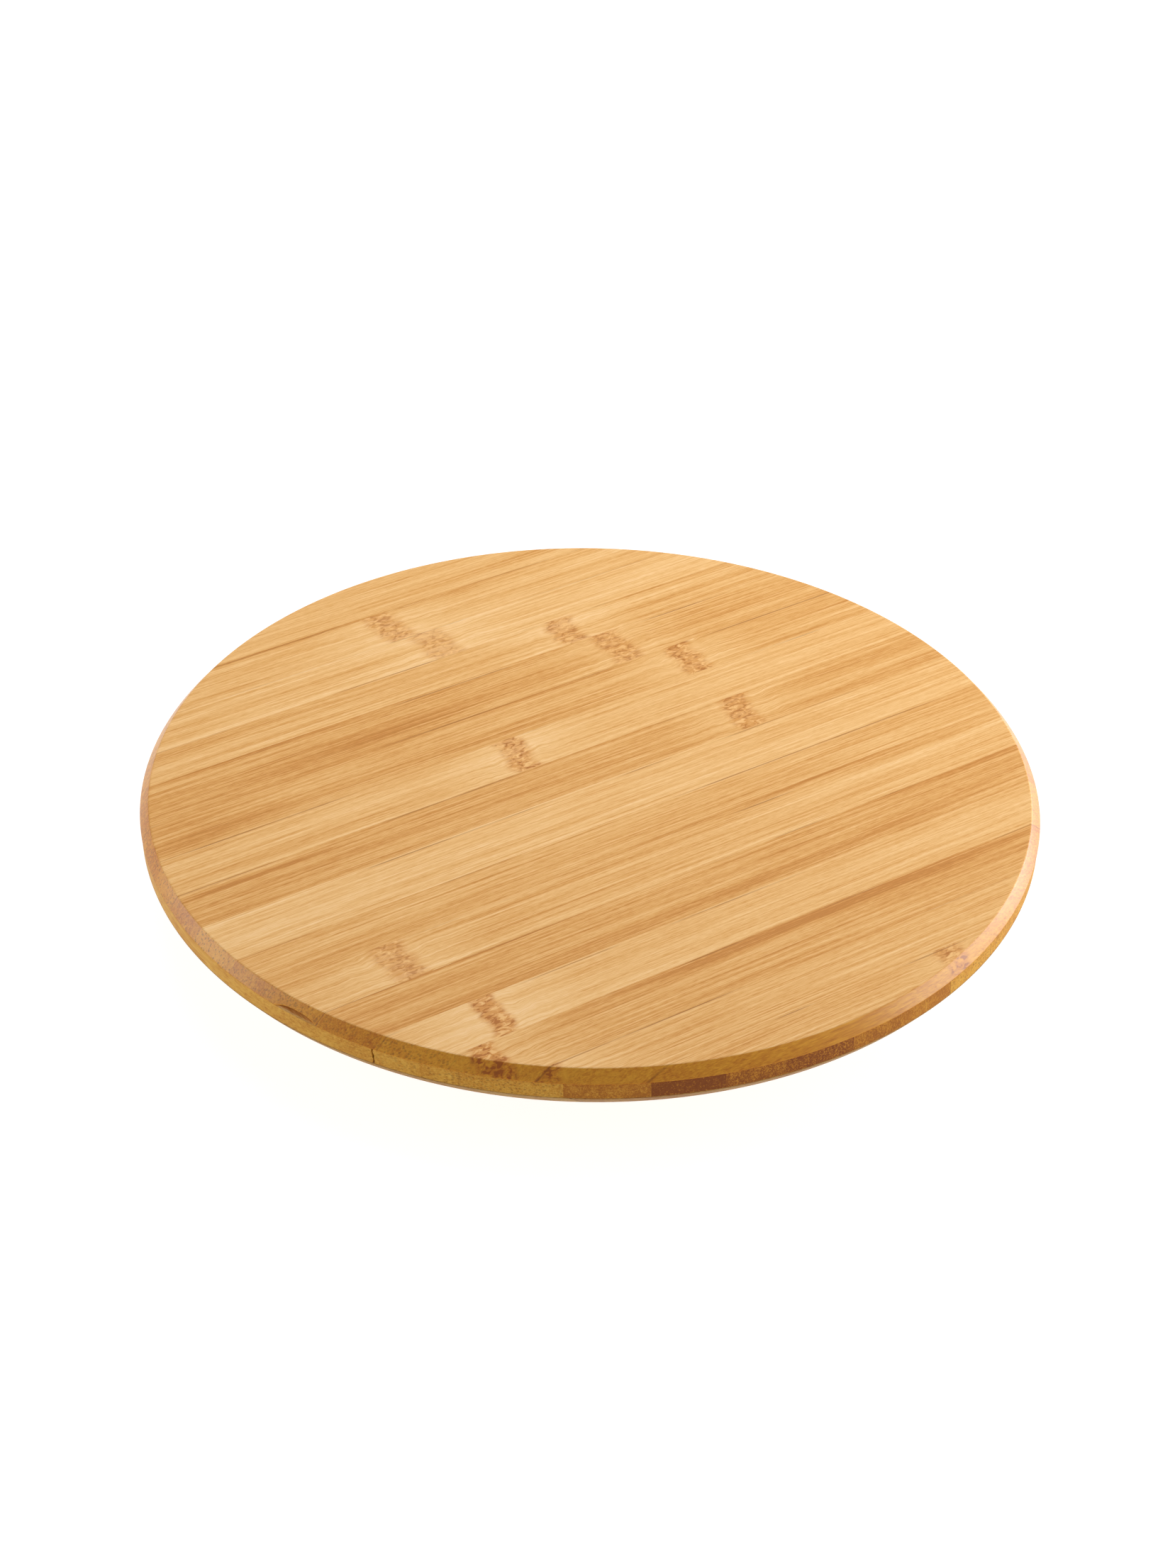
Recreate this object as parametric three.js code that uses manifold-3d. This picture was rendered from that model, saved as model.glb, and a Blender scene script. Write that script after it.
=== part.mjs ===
// Lazy susan turntable: a round three-ply bamboo board that spins on an aluminium ring bearing, which is
// screwed to a smaller round bamboo base on four rubber feet.
// Millimetres, +Z up. The origin is on the spin axis, on the surface that the feet stand on.
import * as THREE from "three";
import { mergeVertices } from "three/addons/utils/BufferGeometryUtils.js";
import Module from "manifold-3d";

// ---------------------------------------------------------------- driving dimensions

const BOARD_SIDES = 96; // facets round the board and the base
const RING_SIDES = 60; // facets round the bearing rings

// The board: outer plies of equal thickness, with the core laid across them.
const board = { radius: 165, outerPly: 4.5, corePly: 6 };
board.thickness = 2 * board.outerPly + board.corePly;

// The board's rim: both outer plies are bevelled. The core's edge is set back a little under the upper lip
// and flares out to the lower ply's edge.
const rim = { bevel: 3.4, land: 0.4, setBack: 0.6, footSetBack: 0.3, ease: 0.25 };

// The ring bearing: two flat rings with one row of caged balls between them.
const bearing = {
  height: 8.5,
  stagger: 1.0, // how far each ring stands clear of the piece that it isn't screwed to
  outerRadius: 70,
  boreRadius: 44,
  pitchRadius: 57,
  wallGap: 2.4, // between the two rings' facing walls
  grooveRadius: 2.7,
  edge: 0.5, // broken corners
};
bearing.ringHeight = bearing.height - bearing.stagger;

const ball = { radius: 2.5, count: 28 };
const cage = { thickness: 1.2, height: 6.2, pocketRadius: 2.75 };
const fillerHole = { radius: 2.7, angle: 20 * THREE.MathUtils.DEG2RAD };
const plug = { radius: 2.5, inset: 0.4, clearOfBalls: 0.3, slotWidth: 0.9, slotDepth: 1.0 };

const base = { radius: 110, thickness: 9, lowerBevel: 2.5, upperBevel: 1 };
const accessHole = { radius: 5 };

const foot = { radius: 8, toeRadius: 7.2, toeEdge: 0.5, height: 4, count: 4, circle: 97 };
foot.recess = { radius: 4.2, depth: 2.4 };

// Countersunk wood screws for the two rings, and pan-headed ones for the feet.
const ringScrew = { headRadius: 3.5, rimHeight: 0.3, shankRadius: 1.7, tip: 2.5, sunk: 0.25, count: 4 };
const outerScrew = { circle: 64.5, length: 16.5 };
const innerScrew = { circle: 49.5, length: 14 };
const footScrew = { headRadius: 3.4, headHeight: 1.6, crown: 0.8, wall: 0.7 };
footScrew.shank = { radius: 1.5, length: 8, tip: 2 };
const screwClearance = 0.25; // round the shank, in every hole
const pilotSlack = 0.5; // how much deeper a pilot hole is than its screw
const overrun = 1; // how far a cutter goes past the face that it opens
const crossRecess = { length: 3.6, width: 0.8, depth: 1.2 };

// Heights of the assembly, from the standing surface up.
const level = { base: foot.height };
level.bearing = level.base + base.thickness;
level.board = level.bearing + bearing.height;
level.ballCentre = level.bearing + bearing.height / 2;

// ---------------------------------------------------------------- materials

function finish(color, roughness, metalness = 0) {
  return new THREE.MeshStandardMaterial({ color, roughness, metalness });
}

const faceBamboo = finish(0xdcab66, 0.5);
const coreBamboo = finish(0xb68c4c, 0.6);
const baseBamboo = finish(0xd6a662, 0.55);
const aluminium = finish(0xb9bcc0, 0.35, 1);
const bearingSteel = finish(0xd0d2d6, 0.15, 1);
const zincSteel = finish(0xc3c5c6, 0.3, 1);
const nylon = finish(0xe9e7df, 0.5);
const rubber = finish(0x1d1d1e, 0.85);

// ---------------------------------------------------------------- making and cutting solids

const wasm = await Module();
wasm.setup();

function toSolid(geometry) {
  const bare = new THREE.BufferGeometry();
  const flat = geometry.index ? geometry.toNonIndexed() : geometry;
  bare.setAttribute("position", flat.getAttribute("position"));
  const merged = mergeVertices(bare, 1e-3);
  return new wasm.Manifold(
    new wasm.Mesh({
      numProp: 3,
      vertProperties: merged.attributes.position.array,
      triVerts: new Uint32Array(merged.index.array),
    }),
  );
}

function toGeometry(solid) {
  const mesh = solid.getMesh();
  const geometry = new THREE.BufferGeometry();
  geometry.setAttribute("position", new THREE.BufferAttribute(mesh.vertProperties, 3));
  geometry.setIndex(new THREE.BufferAttribute(mesh.triVerts, 1));
  geometry.computeVertexNormals();
  return geometry;
}

function cut(geometry, tools) {
  let solid = toSolid(geometry);
  for (const tool of tools) solid = solid.subtract(toSolid(tool));
  return toGeometry(solid);
}

// A solid of revolution about Z from [radius, height] corners, going up the outside.
function turned(corners, sides) {
  const profile = corners.map(([radius, height]) => new THREE.Vector2(radius, height));
  return new THREE.LatheGeometry(profile, sides).rotateX(Math.PI / 2);
}

// A round cutter along Z, from one height to another, that may taper.
function drill(radius, from, to, endRadius = radius, sides = 16) {
  const height = to - from;
  return new THREE.CylinderGeometry(endRadius, radius, height, sides)
    .rotateX(Math.PI / 2)
    .translate(0, 0, from + height / 2);
}

// The same cutter repeated round the spin axis.
function ringOf(makeTool, count, circle, startAngle = 0) {
  return Array.from({ length: count }, (_, i) =>
    makeTool()
      .translate(circle, 0, 0)
      .rotateZ(startAngle + (i * 2 * Math.PI) / count),
  );
}

// Points on a circular arc in the [radius, height] plane.
function arc(centreRadius, centreHeight, radius, from, to, steps) {
  return Array.from({ length: steps + 1 }, (_, i) => {
    const angle = from + ((to - from) * i) / steps;
    return [centreRadius + radius * Math.cos(angle), centreHeight + radius * Math.sin(angle)];
  });
}

// ---------------------------------------------------------------- the assembly's groups

const turntable = new THREE.Group();
turntable.position.z = level.board;
const standing = new THREE.Group();
const ballRow = new THREE.Group();
ballRow.position.z = level.ballCentre;
const lazySusan = new THREE.Group().add(standing, ballRow, turntable);

function place(parent, name, geometry, material, position = [0, 0, 0], turn = 0) {
  const mesh = new THREE.Mesh(geometry, material);
  mesh.name = name;
  mesh.position.set(...position);
  mesh.rotation.z = turn;
  parent.add(mesh);
  return mesh;
}

// A named copy of one piece at each place round the spin axis.
function placeRound(parent, name, geometry, material, count, circle, height, startAngle = 0) {
  for (let i = 0; i < count; i++) {
    const angle = startAngle + (i * 2 * Math.PI) / count;
    const position = [circle * Math.cos(angle), circle * Math.sin(angle), height];
    const number = String(i + 1).padStart(String(count).length, "0");
    place(parent, `${name}_${number}`, geometry, material, position, angle);
  }
}

const EIGHTH_TURN = Math.PI / 4;

// ---------------------------------------------------------------- board, from its underside up

const coreBottom = board.outerPly;
const coreTop = board.outerPly + board.corePly;
const faceRadius = board.radius - rim.bevel;
const coreFootRadius = board.radius - rim.footSetBack;
const coreTopRadius = board.radius - rim.setBack;
const boardPilotDepth = outerScrew.length - bearing.ringHeight + pilotSlack;

function boardPilots(depth) {
  const pilot = () => drill(ringScrew.shankRadius + screwClearance, -overrun, depth);
  return ringOf(pilot, ringScrew.count, outerScrew.circle);
}

function bottomPly() {
  const blank = turned(
    [
      [0, 0],
      [faceRadius - rim.ease, 0],
      [faceRadius, rim.ease],
      [coreFootRadius, coreBottom - rim.land],
      [coreFootRadius, coreBottom],
      [0, coreBottom],
    ],
    BOARD_SIDES,
  );
  return cut(blank, boardPilots(coreBottom + overrun));
}

function corePly() {
  const blank = turned(
    [
      [0, coreBottom],
      [coreFootRadius, coreBottom],
      [coreTopRadius, coreTop],
      [0, coreTop],
    ],
    BOARD_SIDES,
  );
  return cut(blank, boardPilots(boardPilotDepth));
}

function topPly() {
  return turned(
    [
      [0, coreTop],
      [board.radius - rim.ease, coreTop],
      [board.radius, coreTop + rim.ease],
      [board.radius, coreTop + rim.land],
      [faceRadius, board.thickness - rim.ease],
      [faceRadius - rim.ease, board.thickness],
      [0, board.thickness],
    ],
    BOARD_SIDES,
  );
}

place(turntable, "bottom_ply", bottomPly(), faceBamboo);
place(turntable, "core_ply", corePly(), coreBamboo);
place(turntable, "top_ply", topPly(), faceBamboo);

// ---------------------------------------------------------------- ring bearing

const innerWall = bearing.pitchRadius - bearing.wallGap / 2;
const outerWall = bearing.pitchRadius + bearing.wallGap / 2;
const grooveHalfAngle = Math.acos(bearing.wallGap / 2 / bearing.grooveRadius); // where the groove meets a wall
const GROOVE_STEPS = 5;

// A countersunk hole through a ring, opening at the height `mouth` and narrowing along `inward`.
function countersink(mouth, inward) {
  const shank = ringScrew.shankRadius + screwClearance;
  const head = ringScrew.headRadius + screwClearance;
  const shoulder = mouth + inward * (ringScrew.sunk + ringScrew.rimHeight);
  const throat = shoulder + inward * (head - shank);
  const through = drill(shank, -overrun, bearing.ringHeight + overrun);
  const upward = inward > 0;
  const cone = upward ? drill(head, shoulder, throat, shank) : drill(shank, throat, shoulder, head);
  const seat = upward ? drill(head, mouth - overrun, shoulder) : drill(head, shoulder, mouth + overrun);
  return toGeometry(toSolid(through).add(toSolid(cone)).add(toSolid(seat)));
}

function innerRing() {
  const { boreRadius, ringHeight, edge, pitchRadius, grooveRadius, height } = bearing;
  const groove = arc(
    pitchRadius,
    height / 2,
    grooveRadius,
    Math.PI + grooveHalfAngle,
    Math.PI - grooveHalfAngle,
    GROOVE_STEPS,
  );
  const blank = turned(
    [
      [boreRadius, edge],
      [boreRadius + edge, 0],
      [innerWall - edge, 0],
      [innerWall, edge],
      ...groove,
      [innerWall, ringHeight - edge / 2],
      [innerWall - edge / 2, ringHeight],
      [boreRadius + edge, ringHeight],
      [boreRadius, ringHeight - edge],
      [boreRadius, edge],
    ],
    RING_SIDES,
  );
  const screwHole = () => countersink(ringHeight, -1);
  return cut(blank, ringOf(screwHole, ringScrew.count, innerScrew.circle, EIGHTH_TURN));
}

// The ball row's height inside the outer ring, which hangs lower than the ring's own middle.
const outerGrooveHeight = bearing.height / 2 - bearing.stagger;

function outerRing() {
  const { outerRadius, ringHeight, edge, pitchRadius, grooveRadius } = bearing;
  const groove = arc(
    pitchRadius,
    outerGrooveHeight,
    grooveRadius,
    grooveHalfAngle,
    -grooveHalfAngle,
    GROOVE_STEPS,
  );
  const blank = turned(
    [
      [outerWall, edge / 2],
      [outerWall + edge / 2, 0],
      [outerRadius - edge, 0],
      [outerRadius, edge],
      [outerRadius, ringHeight - edge],
      [outerRadius - edge, ringHeight],
      [outerWall + edge, ringHeight],
      [outerWall, ringHeight - edge],
      ...groove,
      [outerWall, edge / 2],
    ],
    RING_SIDES,
  );
  const fillerLength = outerRadius - pitchRadius + 2 * overrun;
  const { radius, angle } = fillerHole;
  const filler = new THREE.CylinderGeometry(radius, radius, fillerLength, 16)
    .rotateZ(Math.PI / 2)
    .translate(pitchRadius + fillerLength / 2, 0, outerGrooveHeight)
    .rotateZ(angle);
  const screwHole = () => countersink(0, 1);
  return cut(blank, [...ringOf(screwHole, ringScrew.count, outerScrew.circle), filler]);
}

// The slotted plug that closes the hole through which the balls were loaded. It lies along X.
function fillerPlug() {
  const from = bearing.pitchRadius + bearing.grooveRadius + plug.clearOfBalls;
  const to = bearing.outerRadius - plug.inset;
  const body = new THREE.CylinderGeometry(plug.radius, plug.radius, to - from, 16)
    .rotateZ(Math.PI / 2)
    .translate((from + to) / 2, 0, 0);
  const slot = new THREE.BoxGeometry(2 * plug.slotDepth, plug.slotWidth, 3 * plug.radius).translate(to, 0, 0);
  return cut(body, [slot]);
}

place(standing, "inner_race_ring", innerRing(), aluminium, [0, 0, level.bearing]);
place(turntable, "outer_race_ring", outerRing(), aluminium, [0, 0, -bearing.ringHeight]);
place(
  turntable,
  "ball_filler_plug",
  fillerPlug(),
  zincSteel,
  [0, 0, outerGrooveHeight - bearing.ringHeight],
  fillerHole.angle,
);

// ---------------------------------------------------------------- balls and their cage

function ballCage() {
  const inner = bearing.pitchRadius - cage.thickness / 2;
  const outer = bearing.pitchRadius + cage.thickness / 2;
  const half = cage.height / 2;
  const band = turned(
    [
      [inner, -half],
      [outer, -half],
      [outer, half],
      [inner, half],
      [inner, -half],
    ],
    ball.count * 3,
  );
  const { pocketRadius, thickness } = cage;
  const pocket = () =>
    new THREE.CylinderGeometry(pocketRadius, pocketRadius, 4 * thickness, 12).rotateZ(Math.PI / 2);
  return cut(band, ringOf(pocket, ball.count, bearing.pitchRadius));
}

place(ballRow, "ball_cage", ballCage(), nylon);
placeRound(
  ballRow,
  "bearing_ball",
  new THREE.IcosahedronGeometry(ball.radius, 1),
  bearingSteel,
  ball.count,
  bearing.pitchRadius,
  0,
);

// ---------------------------------------------------------------- screws

// A cross recess, cut down from a screw head's face at height 0.
function crossTool() {
  const { length, width, depth } = crossRecess;
  const bar = new THREE.BoxGeometry(length, width, 2 * depth);
  return toGeometry(toSolid(bar).add(toSolid(bar.clone().rotateZ(Math.PI / 2))));
}

// A countersunk screw, head face up at height 0 and its point below.
function countersunkScrew(length) {
  const { headRadius, rimHeight, shankRadius, tip } = ringScrew;
  const neck = headRadius - shankRadius + rimHeight;
  const blank = turned(
    [
      [0, -length],
      [shankRadius, -length + tip],
      [shankRadius, -neck],
      [headRadius, -rimHeight],
      [headRadius, 0],
      [0, 0],
    ],
    16,
  );
  return cut(blank, [crossTool()]);
}

// A pan-headed screw with its head's seat at height 0, its face below and its point above.
function panScrew() {
  const { headRadius, headHeight, crown, wall, shank } = footScrew;
  const blank = turned(
    [
      [0, -headHeight],
      [headRadius - crown, -headHeight],
      [headRadius, -wall],
      [headRadius, 0],
      [shank.radius, 0],
      [shank.radius, shank.length - shank.tip],
      [0, shank.length],
    ],
    16,
  );
  return cut(blank, [crossTool().translate(0, 0, -headHeight)]);
}

const innerHeadHeight = level.bearing + bearing.ringHeight - ringScrew.sunk;
placeRound(
  standing,
  "inner_ring_screw",
  countersunkScrew(innerScrew.length),
  zincSteel,
  ringScrew.count,
  innerScrew.circle,
  innerHeadHeight,
  EIGHTH_TURN,
);
placeRound(
  turntable,
  "outer_ring_screw",
  countersunkScrew(outerScrew.length - ringScrew.sunk).rotateX(Math.PI),
  zincSteel,
  ringScrew.count,
  outerScrew.circle,
  -bearing.ringHeight + ringScrew.sunk,
);

// ---------------------------------------------------------------- base and feet

function baseDisc() {
  const { radius, thickness, lowerBevel, upperBevel } = base;
  const blank = turned(
    [
      [0, 0],
      [radius - lowerBevel, 0],
      [radius, lowerBevel],
      [radius, thickness - upperBevel],
      [radius - upperBevel, thickness],
      [0, thickness],
    ],
    BOARD_SIDES,
  );
  const top = thickness + overrun;
  const ringPilotFloor = thickness - (innerScrew.length - bearing.ringHeight + 2 * pilotSlack);
  const footPilotTop = footScrew.shank.length - (foot.height - foot.recess.depth) + pilotSlack;
  const ringPilot = () => drill(ringScrew.shankRadius + screwClearance, ringPilotFloor, top);
  const footPilot = () => drill(footScrew.shank.radius + screwClearance, -overrun, footPilotTop);
  // The outer ring's screws are driven one at a time through this hole, as the board is turned over it.
  const access = drill(accessHole.radius, -overrun, top, accessHole.radius, 24);
  access.translate(outerScrew.circle, 0, 0);
  return cut(blank, [
    ...ringOf(ringPilot, ringScrew.count, innerScrew.circle, EIGHTH_TURN),
    ...ringOf(footPilot, foot.count, foot.circle, EIGHTH_TURN),
    access,
  ]);
}

function rubberFoot() {
  const hole = footScrew.shank.radius + screwClearance;
  return turned(
    [
      [hole, foot.recess.depth],
      [foot.recess.radius, foot.recess.depth],
      [foot.recess.radius, 0],
      [foot.toeRadius - foot.toeEdge, 0],
      [foot.toeRadius, foot.toeEdge],
      [foot.radius, foot.height],
      [hole, foot.height],
      [hole, foot.recess.depth],
    ],
    24,
  );
}

place(standing, "base_disc", baseDisc(), baseBamboo, [0, 0, level.base]);
placeRound(standing, "rubber_foot", rubberFoot(), rubber, foot.count, foot.circle, 0, EIGHTH_TURN);
placeRound(
  standing,
  "foot_screw",
  panScrew(),
  zincSteel,
  foot.count,
  foot.circle,
  foot.recess.depth,
  EIGHTH_TURN,
);

export default lazySusan;
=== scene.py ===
import math
import random
import bmesh
import bpy
from mathutils import Matrix, Vector


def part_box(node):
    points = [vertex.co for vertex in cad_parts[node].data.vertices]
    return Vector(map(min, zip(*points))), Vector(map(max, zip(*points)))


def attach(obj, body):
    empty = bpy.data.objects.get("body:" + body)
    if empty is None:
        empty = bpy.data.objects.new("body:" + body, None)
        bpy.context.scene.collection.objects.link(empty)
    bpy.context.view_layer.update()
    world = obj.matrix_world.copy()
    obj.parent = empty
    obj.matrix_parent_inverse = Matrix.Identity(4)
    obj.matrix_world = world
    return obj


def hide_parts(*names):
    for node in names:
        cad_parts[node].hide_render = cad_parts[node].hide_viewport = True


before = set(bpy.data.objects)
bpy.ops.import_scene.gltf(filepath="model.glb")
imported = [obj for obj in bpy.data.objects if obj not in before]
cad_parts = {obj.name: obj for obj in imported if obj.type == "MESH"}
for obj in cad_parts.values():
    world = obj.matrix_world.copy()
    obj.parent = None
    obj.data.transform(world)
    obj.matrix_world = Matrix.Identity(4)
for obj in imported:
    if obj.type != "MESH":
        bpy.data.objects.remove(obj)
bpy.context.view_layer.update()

# ------------------------------------------------------------------ camera
# A long lens looks down on the board from the front, from about a metre away, held a touch out of level.

MM = 0.001
scene = bpy.context.scene
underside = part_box("bottom_ply")[0][2]

lens = bpy.data.cameras.new("studio_camera")
lens.lens = 70
lens.sensor_width = 36
lens.clip_start = 0.05
camera = bpy.data.objects.new("studio_camera", lens)
scene.collection.objects.link(camera)
scene.camera = camera

pitch = math.radians(35.892)
roll = math.radians(0.909)
stand_off = 1.1321
aim_left = 0.95 * MM
aim_up = 9.79 * MM
ahead = Vector((0, math.cos(pitch), -math.sin(pitch)))
level_up = Vector((0, math.sin(pitch), math.cos(pitch)))
level_right = Vector((1, 0, 0))
right = level_right * math.cos(roll) + level_up * math.sin(roll)
upward = level_up * math.cos(roll) - level_right * math.sin(roll)
aim = Vector((0, 0, underside)) - right * aim_left + upward * aim_up
turned_to = Matrix((right, upward, -ahead)).transposed().to_4x4()
camera.matrix_world = Matrix.Translation(aim - ahead * stand_off) @ turned_to

# ------------------------------------------------------------------ studio
# A white light table for the floor, a big soft box above and behind, and lower ones at both sides. Nothing
# bright stands in front, so the near edge of the board is its darkest part.

scene.view_settings.view_transform = "Standard"


class Wire:
    """One output of a shader node, as a number, a vector or a colour that Python sums can use."""

    def __init__(self, socket):
        self.socket = socket
        self.tree = socket.id_data

    def node(self, kind, settings=None, sockets=None, output=0):
        """A new node: its settings first, then its input values or links. Gives one of its outputs."""
        made = self.tree.nodes.new(kind)
        for key, value in (settings or {}).items():
            if key == "stops":
                ramp = made.color_ramp
                while len(ramp.elements) < len(value):
                    ramp.elements.new(1)
                for stop, (position, colour) in zip(ramp.elements, value):
                    stop.position = position
                    stop.color = colour
            elif key == "steps":
                made.color_ramp.interpolation = value
            else:
                setattr(made, key, value)
        for key, value in (sockets or {}).items():
            if isinstance(value, Wire):
                self.tree.links.new(value.socket, made.inputs[key])
            else:
                made.inputs[key].default_value = value
        return Wire(made.outputs[output])

    def outputs(self):
        return [Wire(socket) for socket in self.socket.node.outputs]

    def parts(self):
        return self.node("ShaderNodeSeparateXYZ", {}, {0: self}).outputs()

    def sum(self, operation, *operands, output=0):
        """A Math node, or a Vector Math node where an operand is a vector or a colour."""
        kinds = [o.socket.type if isinstance(o, Wire) else type(o) for o in operands]
        if all(kind in ("VALUE", int, float) for kind in kinds):
            return self.node("ShaderNodeMath", {"operation": operation}, dict(enumerate(operands)))
        spread = [(o, o, o) if isinstance(o, (int, float)) else o for o in operands]
        return self.node("ShaderNodeVectorMath", {"operation": operation}, dict(enumerate(spread)), output)

    def __add__(self, other):
        return self.sum("ADD", self, other)

    def __sub__(self, other):
        return self.sum("SUBTRACT", self, other)

    def __rsub__(self, other):
        return self.sum("SUBTRACT", other, self)

    def __mul__(self, other):
        return self.sum("MULTIPLY", self, other)

    def __truediv__(self, other):
        return self.sum("DIVIDE", self, other)

    def __abs__(self):
        return self.sum("ABSOLUTE", self)

    __radd__ = __add__
    __rmul__ = __mul__

    def length(self):
        return self.sum("LENGTH", self, output=1)

    def least(self, other):
        return self.sum("MINIMUM", self, other)

    def most(self, other):
        return self.sum("MAXIMUM", self, other)

    def rise(self, low, high):
        """0 below low and 1 above high, with a smooth step between; it falls where low is above high."""
        if low > high:
            return 1 - self.rise(high, low)
        settings = {"interpolation_type": "SMOOTHSTEP"}
        return self.node("ShaderNodeMapRange", settings, {"Value": self, "From Min": low, "From Max": high})

    def toward(self, other, amount):
        """This colour, mixed with another one by an amount from 0 to 1."""
        sockets = {0: amount, 6: self, 7: other}
        return self.node("ShaderNodeMix", {"data_type": "RGBA"}, sockets, output=2)

    def noise(self, x, y, z, detail=2.0, roughness=0.5, distortion=0.0):
        """Noise at a place given in the noise's own cells."""
        place = self.node("ShaderNodeCombineXYZ", {}, {0: x, 1: y, 2: z})
        sockets = {"Vector": place, "Scale": 1.0, "Detail": detail, "Roughness": roughness}
        return self.node("ShaderNodeTexNoise", {}, {**sockets, "Distortion": distortion})


def finish(name):
    """A new material: the place on the object in millimetres, the way the surface faces, and the shader."""
    material = bpy.data.materials.new(name)
    material.use_nodes = True
    nodes = material.node_tree.nodes
    start = nodes.new("ShaderNodeTexCoord")
    place = Wire(start.outputs["Object"]) * (1 / MM)
    return material, place, Wire(start.outputs["Normal"]), nodes["Principled BSDF"]


def paint(shader, **sockets):
    """Links wires to the shader's sockets and sets plain values on them."""
    for key, value in sockets.items():
        socket = shader.inputs[key.replace("_", " ")]
        if isinstance(value, Wire):
            value.tree.links.new(value.socket, socket)
        else:
            socket.default_value = value


def srgb(red, green, blue):
    """A colour as it is read off a paint chart, 0 to 255, for a shader."""
    channels = [c / 255 for c in (red, green, blue)]
    return (*[((c + 0.055) / 1.055) ** 2.4 if c > 0.04 else c / 12.92 for c in channels], 1.0)


def soft_box(name, place, target, width, height, power, tint=(1, 1, 1)):
    data = bpy.data.lights.new(name, "AREA")
    data.shape = "RECTANGLE"
    data.size = width
    data.size_y = height
    data.energy = power
    data.color = tint
    lamp = bpy.data.objects.new(name, data)
    scene.collection.objects.link(lamp)
    lamp.location = place
    lamp.rotation_euler = (Vector(target) - Vector(place)).to_track_quat("-Z", "Y").to_euler()


table_top, place, _, shader = finish("light_table")
# Painted shadow: the table's glow fades out under the board, to nothing within 70 mm of the middle.
glow_with_painted_shadow = (place * (1, 1, 0)).length().rise(70, 125)
paint(shader, Base_Color=(0.3, 0.3, 0.3, 1), Roughness=0.9, Specular_IOR_Level=0.0)
paint(shader, Emission_Color=glow_with_painted_shadow, Emission_Strength=0.88)
floor_mesh = bpy.data.meshes.new("light_table")
floor_reach = 4.0
corners = [(x * floor_reach, y * floor_reach, 0) for x, y in ((-1, -1), (1, -1), (1, 1), (-1, 1))]
floor_mesh.from_pydata(corners, [], [(0, 1, 2, 3)])
floor_mesh.materials.append(table_top)
floor = bpy.data.objects.new("light_table", floor_mesh)
scene.collection.objects.link(floor)

centre = (0, 0, underside)
soft_box("top_back_box", (0.15, 1.0, 1.5), centre, 2.0, 1.4, 22.5)
soft_box("right_box", (1.2, 0.22, 0.42), centre, 1.3, 0.5, 12, (1, 0.985, 0.96))
soft_box("edge_strip", (0.95, 0.75, 0.14), centre, 1.0, 0.26, 4.4)
soft_box("left_box", (-1.2, 0.1, 0.45), centre, 0.9, 0.6, 5.5)

world = bpy.data.worlds.new("studio_air")
scene.world = world
world.use_nodes = True
background = world.node_tree.nodes["Background"]
background.inputs["Color"].default_value = (1, 1, 1, 1)
background.inputs["Strength"].default_value = 0.24

# ------------------------------------------------------------------ board
# Three plies of flat bamboo strips, pressed together with the core laid crosswise, then turned to a disc
# and bevelled. The strips are glued edge to edge and show their knuckles, and the face is sanded and oiled.

FACE_ANGLE = math.radians(33.2)
SMOOTH_ANGLE = math.radians(32)
board_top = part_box("top_ply")[1][2] / MM
core_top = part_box("core_ply")[1][2] / MM
core_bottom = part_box("core_ply")[0][2] / MM
board_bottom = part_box("bottom_ply")[0][2] / MM
board_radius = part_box("top_ply")[1][0] / MM
bevel_width = 3.4
face_radius = board_radius - bevel_width
core_top_radius = board_radius - 0.6
core_foot_radius = board_radius - 0.3
STRIP_SPAN = 352.0


def rounded(corners, reach, steps=4):
    """An outline whose corners are eased; a corner may give its own reach as a third number."""
    points = []
    last = len(corners) - 1
    for i, corner in enumerate(corners):
        here = Vector(corner[:2])
        own = corner[2] if len(corner) > 2 else reach
        if i in (0, last) or own == 0:
            points.append(here)
            continue
        before = Vector(corners[i - 1][:2])
        after = Vector(corners[i + 1][:2])
        start = here + (before - here).normalized() * own
        end = here + (after - here).normalized() * own
        for step in range(steps + 1):
            t = step / steps
            points.append(start * (1 - t) ** 2 + here * 2 * t * (1 - t) + end * t**2)
    return [tuple(p) for p in points]


def new_piece(name, form, material):
    """An object from a bmesh in millimetres, smooth but for its real edges."""
    bmesh.ops.recalc_face_normals(form, faces=form.faces)
    bmesh.ops.scale(form, vec=(MM, MM, MM), verts=form.verts)
    mesh = bpy.data.meshes.new(name)
    form.to_mesh(mesh)
    form.free()
    mesh.polygons.foreach_set("use_smooth", [True] * len(mesh.polygons))
    mesh.set_sharp_from_angle(angle=SMOOTH_ANGLE)
    if material:
        mesh.materials.append(material)
    piece = bpy.data.objects.new(name, mesh)
    scene.collection.objects.link(piece)
    return piece


def turned_form(outline, sides, warp=None):
    """Turns (radius, height) points about Z. An outline that doesn't start on the axis closes on itself."""
    form = bmesh.new()
    rings = []
    for radius, height in outline:
        if radius < 1e-6:
            rings.append([form.verts.new((0, 0, height))])
            continue
        ring = []
        for side in range(sides):
            angle = 2 * math.pi * side / sides
            r, z = warp(angle, radius, height) if warp else (radius, height)
            ring.append(form.verts.new((r * math.cos(angle), r * math.sin(angle), z)))
        rings.append(ring)
    closed = outline[0][0] > 1e-6
    pairs = list(zip(rings, rings[1:])) + ([(rings[-1], rings[0])] if closed else [])
    for low, high in pairs:
        for side in range(sides):
            turn = (side + 1) % sides
            if len(low) == 1:
                form.faces.new((low[0], high[turn], high[side]))
            elif len(high) == 1:
                form.faces.new((low[side], low[turn], high[0]))
            else:
                form.faces.new((low[side], low[turn], high[turn], high[side]))
    return form


def turned(name, outline, sides, material, warp=None):
    return new_piece(name, turned_form(outline, sides, warp), material)


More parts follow.
